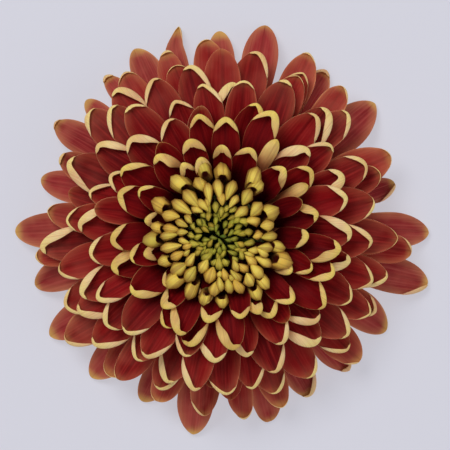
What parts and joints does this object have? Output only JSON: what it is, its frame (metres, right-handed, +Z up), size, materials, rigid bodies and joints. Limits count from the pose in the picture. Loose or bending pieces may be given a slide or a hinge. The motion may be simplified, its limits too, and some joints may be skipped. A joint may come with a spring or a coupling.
{
  "type": "pompon chrysanthemum flower head",
  "caption": "Head of a two-coloured pompon chrysanthemum, picked with a short stub of stem and laid face up, with burgundy florets edged in yellow round a yellow-green disc.",
  "frame": {"origin": "on the surface the head lies on, under the middle of the head and the end of its stem", "axes": "+Z up along the flower's axis, from the stem stub towards the face; +X to the right and +Y to the top of the picture"},
  "size_m": [0.0836, 0.0829, 0.0283],
  "materials": {
    "stem_green": "matt, ribbed green stem",
    "bract_green": "matt green with thin papery brown margins",
    "outer_floret_red": "satin dusty red face, buff yellow reverse",
    "inner_floret_red": "satin burgundy face, cream yellow reverse",
    "disc_yellow": "satin yellow",
    "disc_green": "satin yellow-green to dark green"
  },
  "bodies": {
    "root": {"stem_stub": "stem_green", "outer_bracts": "bract_green", "inner_bracts": "bract_green", "outer_floret_01": "outer_floret_red", "outer_floret_02": "outer_floret_red", "outer_floret_03": "outer_floret_red", "outer_floret_04": "outer_floret_red", "outer_floret_05": "outer_floret_red", "outer_floret_06": "outer_floret_red", "outer_floret_07": "outer_floret_red", "outer_floret_08": "outer_floret_red", "outer_floret_09": "outer_floret_red", "outer_floret_10": "outer_floret_red", "outer_floret_11": "outer_floret_red", "outer_floret_12": "outer_floret_red", "outer_floret_13": "outer_floret_red", "outer_floret_14": "outer_floret_red", "outer_floret_15": "outer_floret_red", "outer_floret_16": "outer_floret_red", "outer_floret_17": "outer_floret_red", "outer_floret_18": "outer_floret_red", "outer_floret_19": "outer_floret_red", "outer_floret_20": "outer_floret_red", "outer_floret_21": "outer_floret_red", "outer_floret_22": "outer_floret_red", "outer_floret_23": "outer_floret_red", "second_floret_01": "outer_floret_red", "second_floret_02": "outer_floret_red", "second_floret_03": "outer_floret_red", "second_floret_04": "outer_floret_red", "second_floret_05": "outer_floret_red", "second_floret_06": "outer_floret_red", "second_floret_07": "outer_floret_red", "second_floret_08": "outer_floret_red", "second_floret_09": "outer_floret_red", "second_floret_10": "outer_floret_red", "second_floret_11": "outer_floret_red", "second_floret_12": "outer_floret_red", "second_floret_13": "outer_floret_red", "second_floret_14": "outer_floret_red", "second_floret_15": "outer_floret_red", "second_floret_16": "outer_floret_red", "second_floret_17": "outer_floret_red", "second_floret_18": "outer_floret_red", "second_floret_19": "outer_floret_red", "whorl_3": "inner_floret_red", "whorl_4": "inner_floret_red", "whorl_5": "inner_floret_red", "whorl_6": "inner_floret_red", "whorl_7": "inner_floret_red", "whorl_8": "inner_floret_red", "whorl_9": "inner_floret_red", "disc_florets_rim": "disc_yellow", "disc_florets_second": "disc_yellow", "disc_florets_third": "disc_yellow", "disc_florets_fourth": "disc_green", "disc_florets_heart": "disc_green"}
  },
  "joints": []
}
